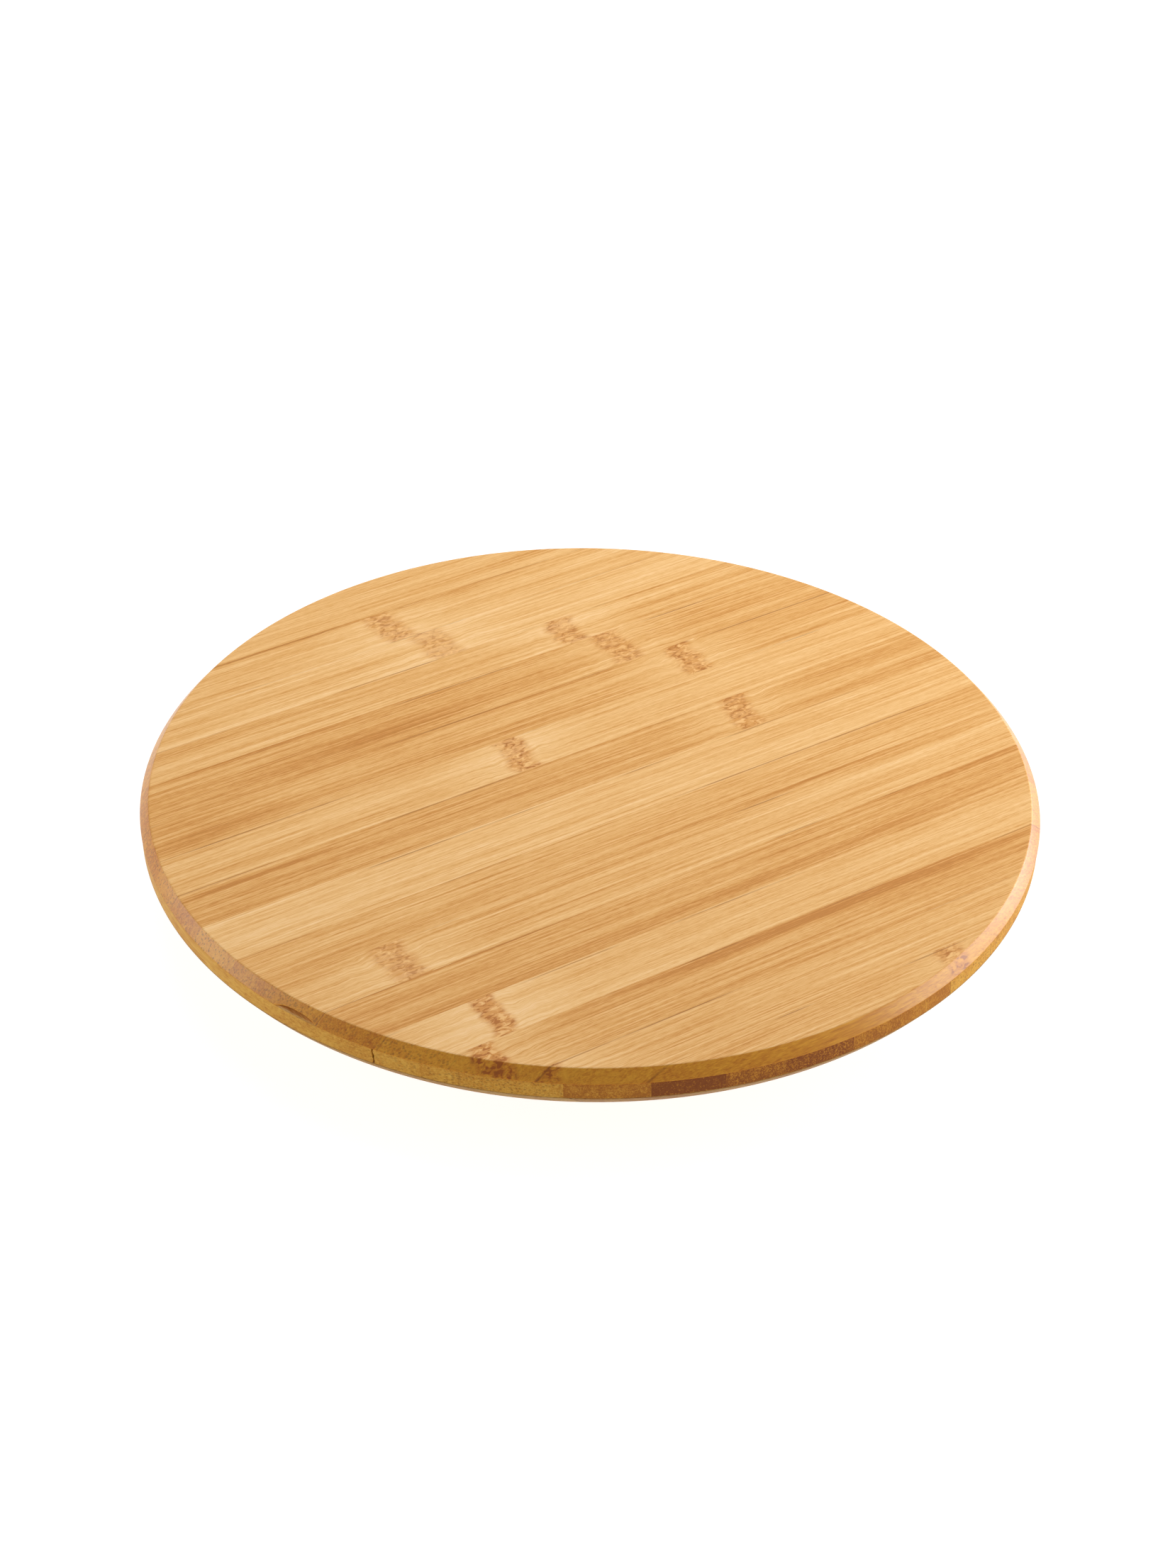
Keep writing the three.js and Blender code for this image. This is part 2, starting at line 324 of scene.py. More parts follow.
def cut_away(piece, tools):
    """Takes the tools' shapes out of a piece, and removes the tools."""
    for tool in tools:
        cut = piece.modifiers.new("cut", "BOOLEAN")
        cut.object = tool
        cut.operation = "DIFFERENCE"
        cut.solver = "EXACT"
    bpy.context.view_layer.update()
    shaped = bpy.data.meshes.new_from_object(piece.evaluated_get(bpy.context.evaluated_depsgraph_get()))
    piece.modifiers.clear()
    piece.data = shaped
    shaped.polygons.foreach_set("use_smooth", [True] * len(shaped.polygons))
    shaped.set_sharp_from_angle(angle=SMOOTH_ANGLE)
    for tool in tools:
        bpy.data.objects.remove(tool)


def stands_for(piece, node, body):
    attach(piece, body)
    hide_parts(node)


def bored(place, outline, sides=32):
    """A round cutter along Z at a place, from its own (radius, height) outline."""
    tool = turned("bore", outline, sides, None)
    tool.data.transform(Matrix.Translation((place[0] * MM, place[1] * MM, 0)))
    return tool


def drill(place, radius, low, high):
    return bored(place, [(0, low), (radius, low), (radius, high), (0, high)])


def middle(node):
    low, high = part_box(node)
    return (low + high) / 2


def bamboo(name, angle, strips, streaks, edge_tint_and_shade):
    """Bamboo strips laid side by side, running at an angle from X. A strip is its far edge across the board
    in mm, its tone (0 pale to 1 dark) and, if it shows a knuckle, where along it and how strong. A streak
    is (along, across, half length, half width, tone), in mm. The edge tint deepens the cut edges, partly as
    their own oiled colour and partly as painted shade."""
    material, place, facing, shader = finish(name)
    turn = {"rotation_type": "Z_AXIS"}
    laid = place.node("ShaderNodeVectorRotate", turn, {"Vector": place, "Angle": -angle})
    along, across, up = laid.parts()
    faced = place.node("ShaderNodeVectorRotate", turn, {"Vector": facing, "Angle": -angle})
    end_part, _, upright = faced.parts()
    end_on = abs(end_part).rise(0.3, 0.75)
    rim = abs(upright).rise(0.93, 0.75)
    bevel = rim * upright.rise(0.3, 0.5)

    # Each strip's tone, seed and knuckle come from a stepped ramp across the board.
    seeds = random.Random(name)
    stops = []
    start = -STRIP_SPAN / 2
    for edge, tone, *knuckle in strips:
        spot, strength = knuckle or (0, 0)
        look = (tone, seeds.random(), spot / STRIP_SPAN + 0.5, strength)
        stops.append((start / STRIP_SPAN + 0.5, look))
        start = edge
    settings = {"steps": "CONSTANT", "stops": stops}
    reading = across * (1 / STRIP_SPAN) + 0.5
    lookup, strength = place.node("ShaderNodeValToRGB", settings, {0: reading}).outputs()
    tone, seed, spot = place.node("ShaderNodeSeparateColor", {}, {0: lookup}).outputs()

    # Knuckles: a crumpled patch across the whole strip, with wavy fibres on either side.
    wander = (place.noise(across * 0.11, seed * 70, 0.0) - 0.5) * 12
    off = along - (spot - 0.5) * STRIP_SPAN + wander
    near = (1 - abs(off) / (14 - strength * 6)).most(0)
    patch = near.rise(0, 0.6) * strength
    halo = (1 - abs(off) * (1 / 34.0)).most(0) * strength.least(1)
    crumple = place.noise(along * 0.3, across * 0.6, up * 0.6, 2.0, 0.5, 0.9)
    bent = across + (place.noise(along * 0.09, across * 0.12, seed * 40) - 0.5) * halo * 7

    # Growth: broad bands, streaks, fibres and short flecks, all drawn out along the strip.
    run = along + seed * 4000
    band = place.noise(run * 0.0045, bent * 0.2, up * 0.2 + seed * 90, 2.0)
    streak = place.noise(run * 0.007, bent * 1.05 + seed * 500, up * 1.05, 3.0, 0.65)
    fibre = place.noise(run * 0.03, bent * 3.0, up * 3.0 + seed * 70, 2.0, 0.65)
    fleck = place.noise(run * 0.3, bent * 2.4, up * 2.4 + seed * 20, 2.0, 0.6)
    growth = tone * 0.8 + (band - 0.5) * 0.5 + (streak - 0.5) * 0.8
    growth = growth + (fibre - 0.5) * 0.92 + (fleck - 0.5) * 0.5
    for s_along, s_across, half_length, half_width, depth in streaks:
        reach = ((laid - (s_along, s_across, 0)) * (1 / half_length, 1 / half_width, 0)).length()
        growth = growth + (1 - reach).most(0) * (0.5 + streak) * depth
    mottle = place.noise(run * 0.12, across * 1.5, up * 1.5, 2.0, 0.6)
    growth = (growth - halo * 0.2 + 0.1 + (mottle - 0.5) * rim * 0.7).least(tone.most(0.82))
    ground = [
        (0.0, srgb(248, 207, 152)),
        (0.3, srgb(237, 188, 121)),
        (0.55, srgb(221, 163, 89)),
        (0.78, srgb(202, 135, 57)),
        (1.0, srgb(146, 80, 26)),
    ]
    colour = place.node("ShaderNodeValToRGB", {"stops": ground}, {0: growth})
    colour = colour.toward(srgb(208, 138, 58), (patch * 0.62).least(0.9))
    colour = colour.toward(srgb(250, 204, 136), (patch * crumple.rise(0.47, 0.34)).least(1) * 0.6)
    dashes = patch * patch * crumple.rise(0.5, 0.66) * (rim * 0.5 + 0.75)
    colour = colour.toward(srgb(170, 98, 24), dashes.least(0.85))

    # Glue joints: a fine dark line here and there along a strip's edge.
    gap = abs(across - strips[0][0])
    for strip in strips[1:-1]:
        gap = gap.least(abs(across - strip[0]))
    line = gap.rise(0.4, 0.1) * place.noise(along * 0.018, seed * 60, 0.0).rise(0.46, 0.62)
    colour = colour.toward(srgb(150, 94, 40), line * 0.65)

    # Cut edges drink the oil and turn deeper, and the edge tint adds painted shade to them. End grain shows
    # its dark pores.
    cells = place.node("ShaderNodeCombineXYZ", {}, {0: along * 0.05, 1: across * 1.0, 2: up * 1.0})
    pore = place.node("ShaderNodeTexVoronoi", {}, {"Vector": cells, "Scale": 1.0, "Randomness": 0.9})
    pores = pore.rise(0.45, 0.2) * end_on
    colour = colour.toward(colour * edge_tint_and_shade, rim)
    colour = colour.toward(srgb(110, 64, 18), pores * (0.75 - tone * 0.8))

    height = fibre * 0.5 + streak * 0.3 - line * 2 - pores + patch * crumple * 2
    bump = place.node("ShaderNodeBump", {}, {"Strength": 0.35, "Distance": 0.00008, "Height": height})
    paint(shader, Base_Color=colour, Roughness=0.44 + streak * 0.14 + end_on * 0.1, Normal=bump)
    paint(shader, Specular_IOR_Level=0.22, Coat_Weight=bevel * 0.8, Coat_Roughness=0.32, Coat_IOR=1.5)
    return material


face_strips = [
    (-148, 0.48, 50, 1.0),
    (-128.5, 0.46, -100, 1.1),
    (-108, 0.54, -114, 1.3),
    (-87.5, 0.36, -100.5, 1.3),
    (-66, 0.58),
    (-46, 0.42, -113, 0.85),
    (-26.5, 0.52),
    (-5, 0.28),
    (15.8, 0.54, 72.5, 0.95),
    (36.8, 0.38, -15.5, 1.05),
    (57, 0.5, 75, 1.0),
    (78.5, 0.56, 56, 0.85),
    (97.3, 0.44, 45, 0.9),
    (116.8, 0.3, -3, 0.7),
    (137.5, 0.4, -13, 0.85),
    (STRIP_SPAN / 2, 0.4),
]
face_streaks = [
    (30, -109.5, 130, 3.2, 0.4),
    (-30, -85, 150, 4.5, 0.22),
    (60, -43.5, 120, 3.0, 0.2),
    (-40, 138, 140, 1.6, 0.3),
    (-100, 115, 70, 1.5, 0.25),
    (75, 115, 55, 2.0, 0.22),
    (-55, 64, 60, 8.0, 0.22),
    (-140, 45, 45, 14.0, 0.22),
    (-130, 12, 40, 2.0, 0.2),
    (-90, -66.3, 60, 0.9, 0.3),
    (-90, 36.8, 110, 0.7, 0.3),
    (85, 97, 35, 0.7, 0.35),
]
face_bamboo = bamboo("face_bamboo", FACE_ANGLE, face_strips, face_streaks, (0.84, 0.61, 0.09))

core_strips = [
    (-147.3, 0.4),
    (-141, 0.42),
    (-122, 0.4),
    (-97, 0.45),
    (-72, 0.86),
    (-49, 1.2),
    (-28, 0.97),
    (-2, 1.08),
    (19, 0.9),
    (44, 0.85),
    (69, 0.4),
    (94, 0.5),
    (119, 0.45),
    (STRIP_SPAN / 2, 0.5),
]
core_bamboo = bamboo("core_bamboo", FACE_ANGLE - math.pi / 2, core_strips, (), (0.775, 0.675, 0.215))


def even_strips(width, seed):
    """Strips of one width, each with a random tone and most with a knuckle somewhere."""
    choose = random.Random(seed)
    strips = []
    for i in range(1, int(STRIP_SPAN / width) + 1):
        tone = choose.uniform(0.3, 0.6)
        spot = choose.uniform(-120, 120)
        strips.append((width * i - STRIP_SPAN / 2, tone, spot, choose.choice((0, 0.6, 0.8))))
    return strips


STRIP_WIDTH = 20.5
# The under ply's edge tint is the deepest: it paints shade onto its lower bevel.
under_bamboo = bamboo("under_bamboo", FACE_ANGLE, even_strips(STRIP_WIDTH, 5), (), (0.47, 0.43, 0.22))

BOARD_SIDES = 360
slit_angle = math.radians(-126.3)
slit_reach = math.radians(2.9)
slit_depth = 10
slit_gape = 1.5


def slit(angle, radius, height):
    """Lifts the lip of the face ply off the core over a short length."""
    off = (angle - slit_angle + math.pi) % (2 * math.pi) - math.pi
    gape = max(0.0, 1 - (off / slit_reach) ** 2) ** 0.5
    if radius > board_radius - 1 and height < core_top + 1:
        return radius - 1.2 * gape, height + slit_gape * gape
    if radius > board_radius - slit_depth and height < core_top + 0.01:
        return radius, height + 1.4 * gape
    return radius, height


top_outline = rounded(
    [
        (0, core_top),
        (board_radius - slit_depth - 0.5, core_top, 0),
        (board_radius - slit_depth + 0.5, core_top, 0),
        (board_radius - 0.25, core_top, 0.1),
        (board_radius, core_top + 0.25, 0.1),
        (board_radius, core_top + 0.4, 0.1),
        (face_radius, board_top, 0.45),
        (0, board_top),
    ],
    0.3,
)
face_ply = turned("face_ply", top_outline, 2 * BOARD_SIDES, face_bamboo, slit)
stands_for(face_ply, "top_ply", "turntable")

core_outline = [(0, core_bottom), (core_foot_radius, core_bottom), (core_top_radius, core_top - 0.45)]
core_outline += [(core_top_radius - 0.45, core_top), (0, core_top)]
middle_ply = turned("middle_ply", core_outline, BOARD_SIDES, core_bamboo)


def crack_blade(angle, width, reach):
    """A thin upright blade across the core's edge, bowed as a seasoning crack is."""
    form = bmesh.new()
    rows = []
    steps = 12
    for step in range(steps + 1):
        height = core_bottom - 1 + (core_top - core_bottom + 2) * step / steps
        bow = 0.35 * math.sin(step * 0.5) - 0.1 * math.sin(step * 1.7)
        half = width / 2 * (0.75 + 0.25 * math.sin(step * 1.3))
        section = ((reach, -half), (reach, half), (0, 0.05), (0, -0.05))
        rows.append([form.verts.new((x, bow + y, height)) for x, y in section])
    for low, high in zip(rows, rows[1:]):
        for side in range(4):
            turn = (side + 1) % 4
            form.faces.new((low[side], low[turn], high[turn], high[side]))
    form.faces.new(rows[0])
    form.faces.new(rows[-1])
    tool = new_piece("crack_blade", form, None)
    inset = Matrix.Translation(((board_radius - 5) * MM, 0, 0))
    tool.data.transform(Matrix.Rotation(angle, 4, "Z") @ inset)
    return tool


under_outline = rounded(
    [
        (0, board_bottom),
        (face_radius, board_bottom, 0.35),
        (core_foot_radius, core_bottom - 0.4, 0.12),
        (core_foot_radius, core_bottom, 0.1),
        (0, core_bottom),
    ],
    0.3,
)
under_ply = turned("under_ply", under_outline, BOARD_SIDES, under_bamboo)

PILOT = 1.95
outer_screws = [f"outer_ring_screw_{i}" for i in range(1, 5)]
outer_places = [middle(node) / MM for node in outer_screws]
pilot_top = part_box(outer_screws[0])[1][2] / MM + 0.5
cut_away(under_ply, [drill(place, PILOT, board_bottom - 1, core_bottom + 1) for place in outer_places])
cracks = [crack_blade(math.radians(-115.4), 1.1, 6)]
cut_away(middle_ply, [drill(place, PILOT, core_bottom - 1, pilot_top) for place in outer_places] + cracks)
stands_for(middle_ply, "core_ply", "turntable")
stands_for(under_ply, "bottom_ply", "turntable")

# ------------------------------------------------------------------ ring bearing
# Two turned aluminium rings with a row of steel balls rolling in grooves between them. The inner one is
# screwed to the base and the outer one to the board, each through four countersunk holes.

inner_low, inner_high = (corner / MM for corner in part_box("inner_race_ring"))
outer_low, outer_high = (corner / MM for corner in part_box("outer_race_ring"))
band_low, band_high = (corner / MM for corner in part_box("ball_cage"))
ball_height = (band_low.z + band_high.z) / 2
pitch_radius = 57.0
wall_gap = 2.4
groove_radius = 2.7
bore_radius = 44.0
outer_radius = outer_high.x
RING_SIDES = 240


def turned_metal(name, colour, dull):
    """Bare metal off a lathe: fine tool rings round the axis, and handling marks."""
    material, place, _, shader = finish(name)
    x, y, z = place.parts()
    radius = (place * (1, 1, 0)).length()
    rings = place.noise(radius * 5, z * 5, 0.0, 3.0, 0.7)
    cloud = place.noise(x * 0.05, y * 0.05, z * 0.2, 3.0)
    scratch = place.noise(x * 0.9, y * 0.09 + x * 0.3, z * 2, 2.0).rise(0.68, 0.74)
    tone = cloud * 0.14 + rings * 0.18 + 0.78
    height = rings - scratch
    bump = place.node("ShaderNodeBump", {}, {"Strength": 0.3, "Distance": 0.00004, "Height": height})
    rough = dull + (rings - 0.5) * 0.18 + (cloud - 0.5) * 0.1 + scratch * 0.1
    paint(shader, Base_Color=tone * colour, Metallic=1.0, Roughness=rough, Normal=bump)
    return material


def groove(side, steps=14):
    """The arc that a ring's ball groove follows, from its lower edge up; side is 1 outside the balls."""
    half = math.acos(wall_gap / 2 / groove_radius)
    points = []
    for step in range(steps + 1):
        angle = half * (2 * step / steps - 1)
        radius = pitch_radius + side * groove_radius * math.cos(angle)
        points.append((radius, ball_height + groove_radius * math.sin(angle), 0))
    return points


def countersink(place, mouth, inward):
    """The cutter for a countersunk hole that opens at the height mouth and narrows along inward."""
    head = 3.75
    ease = 0.12
    outside = mouth - inward
    shoulder = mouth + inward * 0.55
    throat = shoulder + inward * (head - PILOT)
    far_side = mouth + inward * 9
    outline = [(0, outside), (head + ease, outside), (head + ease, mouth), (head, mouth + inward * ease)]
    outline += [(head, shoulder), (PILOT, throat), (PILOT, far_side), (0, far_side)]
    return bored(place, outline, 40)


ring_metal = turned_metal("ring_aluminium", (0.80, 0.81, 0.83), 0.32)
inner_wall = pitch_radius - wall_gap / 2
inner_outline = rounded(
    [
        (bore_radius, (inner_low.z + inner_high.z) / 2),
        (bore_radius, inner_low.z),
        (inner_wall, inner_low.z),
        *groove(-1),
        (inner_wall, inner_high.z),
        (bore_radius, inner_high.z),
        (bore_radius, (inner_low.z + inner_high.z) / 2 + 0.01),
    ],
    0.4,
)
inner_race = turned("inner_race", inner_outline, RING_SIDES, ring_metal)
inner_screws = [f"inner_ring_screw_{i}" for i in range(1, 5)]
cut_away(inner_race, [countersink(middle(node) / MM, inner_high.z, -1) for node in inner_screws])
stands_for(inner_race, "inner_race_ring", "base")

outer_wall = pitch_radius + wall_gap / 2
outer_outline = rounded(
    [
        (outer_radius, (outer_low.z + outer_high.z) / 2),
        (outer_radius, outer_high.z),
        (outer_wall, outer_high.z),
        *groove(1)[::-1],
        (outer_wall, outer_low.z),
        (outer_radius, outer_low.z),
        (outer_radius, (outer_low.z + outer_high.z) / 2 - 0.01),
    ],
    0.4,
)
outer_race = turned("outer_race", outer_outline, RING_SIDES, ring_metal)
plug_middle = middle("ball_filler_plug") / MM
plug_turn = math.atan2(plug_middle.y, plug_middle.x)


def lie_along_x(tool, turn, height):
    """Lays a piece that was turned about Z on its side, its top outward, and swings it round Z."""
    tool.data.transform(Matrix.Rotation(math.pi / 2, 4, "Y"))
    tool.data.transform(Matrix.Translation((0, 0, height * MM)))
    tool.data.transform(Matrix.Rotation(turn, 4, "Z"))
    return tool


filler_radius = 2.7
filler_outline = [(0, pitch_radius), (filler_radius, pitch_radius)]
filler_outline += [(filler_radius, outer_radius + 2), (0, outer_radius + 2)]
filler = lie_along_x(turned("filler_bore", filler_outline, 40, None), plug_turn, ball_height)
countersinks = [countersink(place, outer_low.z, 1) for place in outer_places]
cut_away(outer_race, [*countersinks, filler])
stands_for(outer_race, "outer_race_ring", "turntable")

# ------------------------------------------------------------------ loading plug
# A slotted steel plug, turned and zinc plated. It is pressed into the hole in the outer ring's edge through
# which the balls were loaded.

zinc, place, _, shader = finish("zinc_plate")
x, y, z = place.parts()
bloom = place.noise(x * 0.6, y * 0.6, z * 0.6, 3.0, 0.6)
grain = place.noise(x * 4, y * 4, z * 4, 2.0)
zinc_tones = [(0.3, srgb(176, 180, 190)), (0.7, srgb(222, 220, 208))]
plate = place.node("ShaderNodeValToRGB", {"stops": zinc_tones}, {0: bloom})
bump = place.node("ShaderNodeBump", {}, {"Strength": 0.25, "Distance": 0.00003, "Height": grain + bloom})
paint(shader, Base_Color=plate, Metallic=1.0, Roughness=0.24 + bloom * 0.16 + grain * 0.05, Normal=bump)

plug_radius = 2.5
plug_start = 60
plug_end = outer_radius - 0.4
slot_size = (7.5, 0.9, 2)
plug_outline = [(0, plug_start), (plug_radius, plug_start), (plug_radius, plug_end), (0, plug_end)]
plug_outline = rounded(plug_outline, 0.25)
loading_plug = turned("loading_plug", plug_outline, 40, zinc)
plug_slot = bmesh.new()
bmesh.ops.create_cube(plug_slot, size=1)
bmesh.ops.scale(plug_slot, vec=slot_size, verts=plug_slot.verts)
bmesh.ops.translate(plug_slot, vec=(0, 0, plug_end), verts=plug_slot.verts)
cut_away(loading_plug, [new_piece("plug_slot", plug_slot, None)])
lie_along_x(loading_plug, plug_turn, ball_height)
stands_for(loading_plug, "ball_filler_plug", "turntable")

# ------------------------------------------------------------------ ball band and balls
# A thin moulded nylon band keeps 28 polished steel balls apart. They run loose in its round pockets, and
# band and balls creep round together as the board turns.

nylon, place, _, shader = finish("cage_nylon")
x, y, z = place.parts()
flow = place.noise(x * 0.12, y * 0.12, z * 0.5, 3.0)
skin = place.noise(x * 3, y * 3, z * 3, 2.0)
nylon_tones = [(0.3, srgb(226, 222, 208)), (0.7, srgb(240, 238, 230))]
milk = place.node("ShaderNodeValToRGB", {"stops": nylon_tones}, {0: flow})
bump = place.node("ShaderNodeBump", {}, {"Strength": 0.2, "Distance": 0.00004, "Height": skin})
paint(shader, Base_Color=milk, Roughness=0.42 + skin * 0.15, Normal=bump)
paint(shader, Subsurface_Weight=0.15, Subsurface_Radius=(0.002, 0.002, 0.0015))

band_inside = pitch_radius - 0.6
band_outside = pitch_radius + 0.6
band_outline = rounded(
    [
        (band_inside, ball_height),
        (band_inside, band_low.z),
        (band_outside, band_low.z),
        (band_outside, band_high.z),
        (band_inside, band_high.z),
        (band_inside, ball_height + 0.01),
    ],
    0.3,
)
ball_count = 28
ball_radius = 2.5
pocket_radius = 2.75
pocket_depth = 5
ball_band = turned("ball_band", band_outline, 12 * ball_count, nylon)
ball_nodes = [f"bearing_ball_{i:02d}" for i in range(1, ball_count + 1)]
pocket = {"cap_ends": True, "segments": 36, "radius1": pocket_radius, "radius2": pocket_radius}
pockets = bmesh.new()
for node in ball_nodes:
    spot = middle(node) / MM
    outward = Matrix.Rotation(math.atan2(spot.y, spot.x), 4, "Z") @ Matrix.Rotation(math.pi / 2, 4, "Y")
    bmesh.ops.create_cone(pockets, depth=pocket_depth, matrix=Matrix.Translation(spot) @ outward, **pocket)
cut_away(ball_band, [new_piece("pockets", pockets, None)])
stands_for(ball_band, "ball_cage", "ball_row")

polished, place, _, shader = finish("polished_steel")
x, y, z = place.parts()
smear = place.noise(x * 0.7, y * 0.7, z * 0.7, 3.0, 0.6)
steel_tones = [(0.3, srgb(206, 209, 214)), (0.7, srgb(232, 233, 235))]
tint = place.node("ShaderNodeValToRGB", {"stops": steel_tones}, {0: smear})
paint(shader, Base_Color=tint, Metallic=1.0, Roughness=smear * 0.16 + 0.02)
ball_form = bmesh.new()
bmesh.ops.create_icosphere(ball_form, subdivisions=4, radius=ball_radius)
first_ball = new_piece("steel_ball_01", ball_form, polished)
first_ball.data.polygons.foreach_set("use_smooth", [True] * len(first_ball.data.polygons))
for i, node in enumerate(ball_nodes):
    ball = first_ball
    if i:
        ball = bpy.data.objects.new(f"steel_ball_{i + 1:02d}", first_ball.data)
        scene.collection.objects.link(ball)
    ball.matrix_world = Matrix.Translation(middle(node)) @ Matrix.Rotation(2.4 * i, 4, (1, 2, 3))
    stands_for(ball, node, "ball_row")

# ------------------------------------------------------------------ screws
# Zinc-plated wood screws with cross recesses: countersunk ones hold the rings down, and short pan-headed
# ones hold the feet. Each has a rolled thread that runs out at its point.


def screw_form(head, length, thread_start, tip, crest=1.72, root=1.25, turn_pitch=1.4):
    """A screw with its point down at -length, its thread starting thread_start below the head's outline."""
    step = turn_pitch / 8
    top = -thread_start
    count = int((length - thread_start) / step)
    heights = [top - (length - thread_start) * (1 - i / count) for i in range(count)]

    def thread(angle, radius, height):
        if height > top - 0.01:
            return radius, height
        left = min(1.0, (height + length) / tip)
        phase = (height / turn_pitch - angle / (2 * math.pi)) % 1
        ridge = max(0.0, 1 - abs(phase - 0.5) / 0.24) * min(1.0, (top - height) / 0.8)
        return left * (root + (crest - root) * ridge), height

    outline = [(0, -length)] + [(root, h) for h in heights[1:]] + head
    return turned_form(outline, 28, thread)


def cross_cutters():
    """Two crossing bars, narrower at their floor, that cut a screw's recess down from its face."""
    cutters = []
    mouth = (4.0, 0.85, 0.4)
    bed = (2.2, 0.6, -1.2)
    for turn in (0, math.pi / 2):
        form = bmesh.new()
        bmesh.ops.create_cube(form, size=1)
        for vert in form.verts:
            long, wide, height = bed if vert.co.z < 0 else mouth
            vert.co = Vector((vert.co.x * long, vert.co.y * wide, height))
        bmesh.ops.rotate(form, matrix=Matrix.Rotation(turn, 3, "Z"), verts=form.verts)
        cutters.append(new_piece("cross_bar", form, None))
    return cutters


def screw_set(name, head, lengths, nodes, body, points_up):
    """One screw, made once and set at each of its nodes. lengths is its whole length, the plain length under
    the head's outline and the length of its point."""
    length, thread_start, tip = lengths
    first = new_piece(f"{name}_1", screw_form(head, length, thread_start, tip), zinc)
    cut_away(first, cross_cutters())
    for i, node in enumerate(nodes):
        screw = first
        if i:
            screw = bpy.data.objects.new(f"{name}_{i + 1}", first.data)
            scene.collection.objects.link(screw)
        low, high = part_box(node)
        spot = (low + high) / 2
        spot.z = low.z if points_up else high.z
        flip = Matrix.Rotation(math.pi if points_up else 0, 4, "X")
        turn = Matrix.Rotation(math.atan2(spot.y, spot.x) + 0.4 * i, 4, "Z")
        screw.matrix_world = Matrix.Translation(spot) @ turn @ flip
        stands_for(screw, node, body)


def size_up(node):
    low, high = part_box(node)
    return (high.z - low.z) / MM


sunk_head = rounded([(1.45, -4.0), (1.5, -2.1), (3.5, -0.3), (3.5, 0, 0.12), (0, 0)], 0.12)
low_lengths = (size_up(inner_screws[0]), 4.0, 2.5)
high_lengths = (size_up(outer_screws[0]), 6.0, 2.5)
screw_set("ring_screw_low", sunk_head, low_lengths, inner_screws, "base", False)
screw_set("ring_screw_high", sunk_head, high_lengths, outer_screws, "turntable", True)

foot_screws = [f"foot_screw_{i}" for i in range(1, 5)]
pan_head = [(1.3, -2.2), (1.35, -1.6), (3.4, -1.6, 0.1), (3.4, -0.9, 0.5), (2.4, 0, 0.8), (0, 0)]
pan_head = rounded(pan_head, 0.1)

# ------------------------------------------------------------------ base board
# A smaller bamboo disc under the bearing, eased at both edges, with pilot holes for the screws and one
# round hole through which the outer ring's screws are driven.

base_low, base_high = (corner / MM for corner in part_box("base_disc"))
base_radius = base_high.x
base_angle = math.radians(-20)
base_tint = (0.82, 0.77, 0.66)
base_bamboo = bamboo("base_bamboo", base_angle, even_strips(STRIP_WIDTH, 11), (), base_tint)
low_bevel = 2.5
high_bevel = 1
base_outline = rounded(
    [
        (0, base_low.z),
        (base_radius - low_bevel, base_low.z, 0.6),
        (base_radius, base_low.z + low_bevel, 0.6),
        (base_radius, base_high.z - high_bevel, 0.4),
        (base_radius - high_bevel, base_high.z, 0.4),
        (0, base_high.z),
    ],
    0.4,
)
base_board = turned("base_board", base_outline, BOARD_SIDES, base_bamboo)
driver_place = (64.5, 0)
driver_radius = 5.0
chamfer = 0.5
bore_outline = [
    (0, base_low.z - 1),
    (driver_radius + chamfer, base_low.z - 1),
    (driver_radius + chamfer, base_low.z),
    (driver_radius, base_low.z + chamfer),
    (driver_radius, base_high.z - chamfer),
    (driver_radius + chamfer, base_high.z),
    (driver_radius + chamfer, base_high.z + 1),
    (0, base_high.z + 1),
]
base_cutters = [bored(driver_place, bore_outline, 48)]
for node in inner_screws:
    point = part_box(node)[0][2] / MM
    base_cutters.append(drill(middle(node) / MM, PILOT, point - 1, base_high.z + 1))
foot_pilot = 1.75
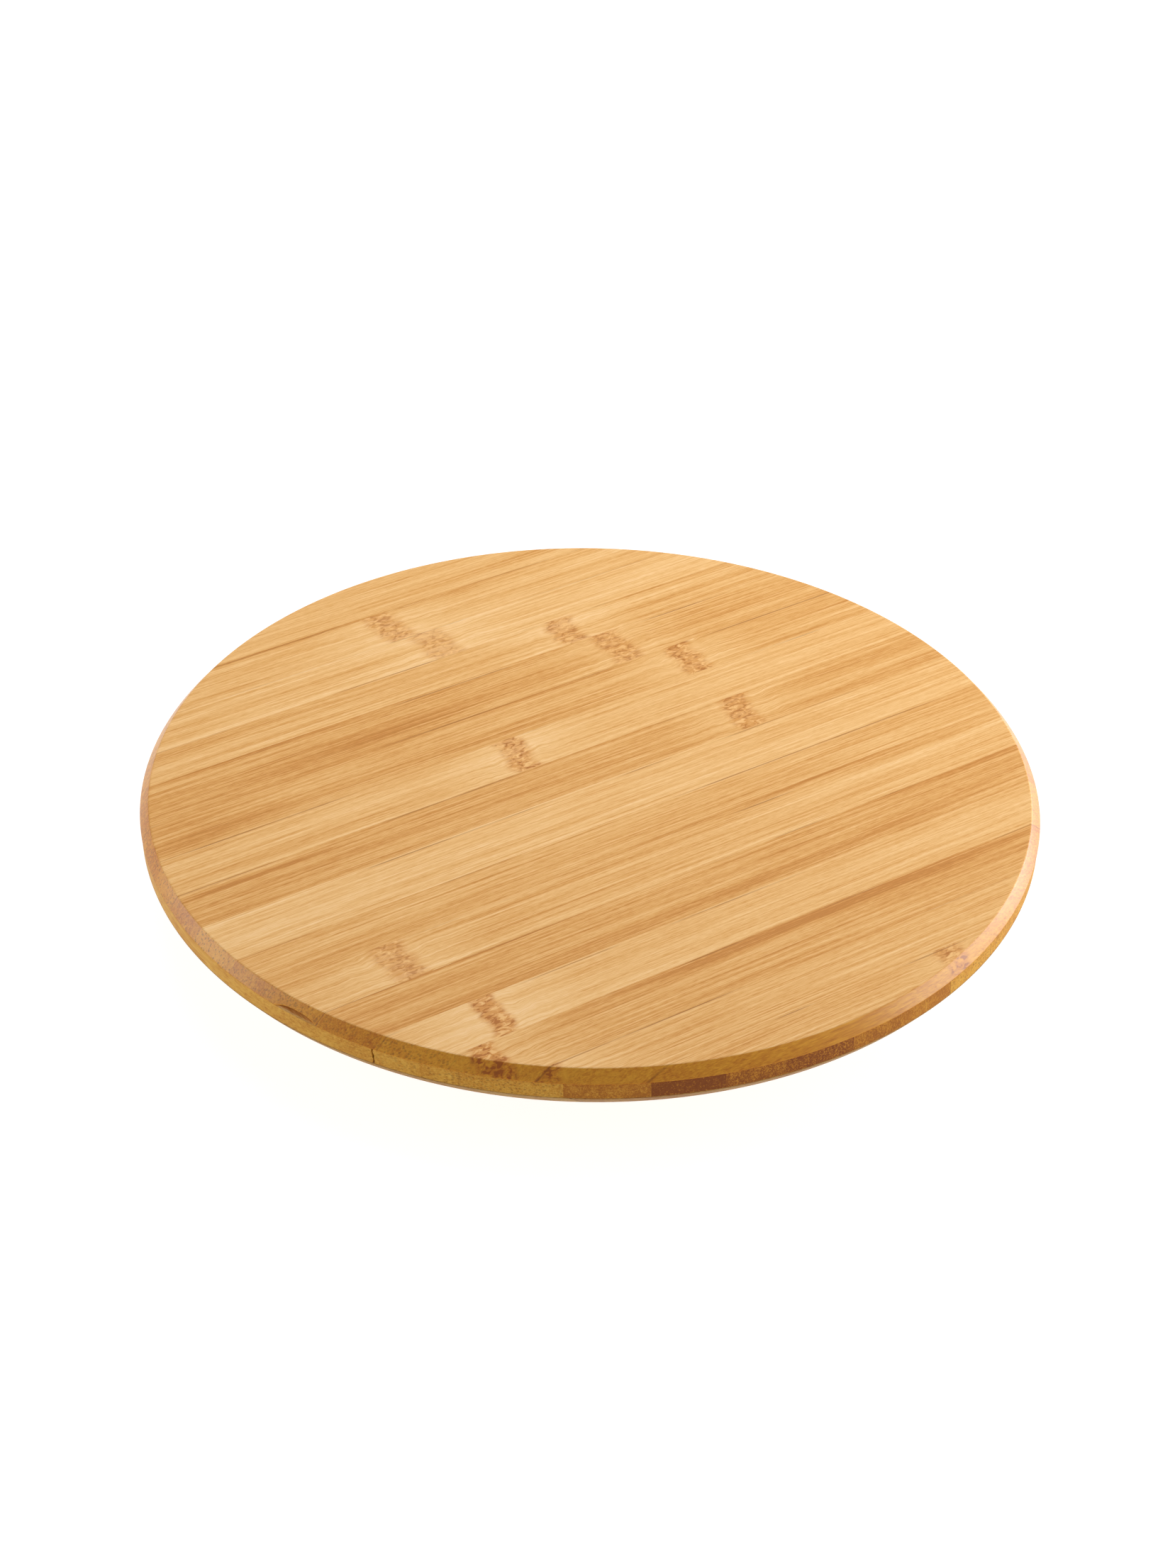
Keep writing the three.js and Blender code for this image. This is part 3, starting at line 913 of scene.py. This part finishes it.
for node in foot_screws:
    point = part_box(node)[1][2] / MM
    base_cutters.append(drill(middle(node) / MM, foot_pilot, base_low.z - 1, point + 0.5))
cut_away(base_board, base_cutters)
stands_for(base_board, "base_disc", "base")

# ------------------------------------------------------------------ feet
# Four feet moulded in black rubber. Each is cupped round the pan-headed screw that holds it to the base, so
# that the screw's head stays clear of the table.

rubber, place, _, shader = finish("foot_rubber")
x, y, z = place.parts()
pebble = place.noise(x * 2.5, y * 2.5, z * 2.5, 2.0)
dust = place.noise(x * 0.4, y * 0.4, z * 0.4, 4.0, 0.65)
rubber_tones = [(0.35, srgb(24, 24, 25)), (0.8, srgb(58, 56, 54))]
black = place.node("ShaderNodeValToRGB", {"stops": rubber_tones}, {0: dust})
bump = place.node("ShaderNodeBump", {}, {"Strength": 0.4, "Distance": 0.00006, "Height": pebble})
paint(shader, Base_Color=black, Roughness=0.62 + dust * 0.3, Normal=bump)

foot_height = 4.0
foot_radius = 8.0
toe_radius = 7.2
cup_radius = 4.2
cup_floor = 2.4
foot_outline = rounded(
    [
        (foot_pilot, 3.2, 0),
        (foot_pilot, cup_floor, 0.1),
        (cup_radius, cup_floor, 0.15),
        (cup_radius, 0, 0.5),
        (5.4, 0, 0.2),
        (5.7, 0.3, 0.2),
        (6.0, 0, 0.2),
        (toe_radius, 0, 0.6),
        (7.85, 3.3, 0.2),
        (foot_radius, foot_height, 0.15),
        (foot_pilot, foot_height, 0.1),
        (foot_pilot, 3.21, 0),
    ],
    0.15,
)
foot_nodes = [f"rubber_foot_{i}" for i in range(1, 5)]
first_foot = turned("foot_pad_1", foot_outline, 72, rubber)
for i, node in enumerate(foot_nodes):
    foot = first_foot
    if i:
        foot = bpy.data.objects.new(f"foot_pad_{i + 1}", first_foot.data)
        scene.collection.objects.link(foot)
    spot = middle(node)
    foot.matrix_world = Matrix.Translation((spot.x, spot.y, 0)) @ Matrix.Rotation(1.3 * i, 4, "Z")
    stands_for(foot, node, "base")

screw_set("foot_screw_pan", pan_head, (size_up(foot_screws[0]), 2.2, 2.0), foot_screws, "base", True)
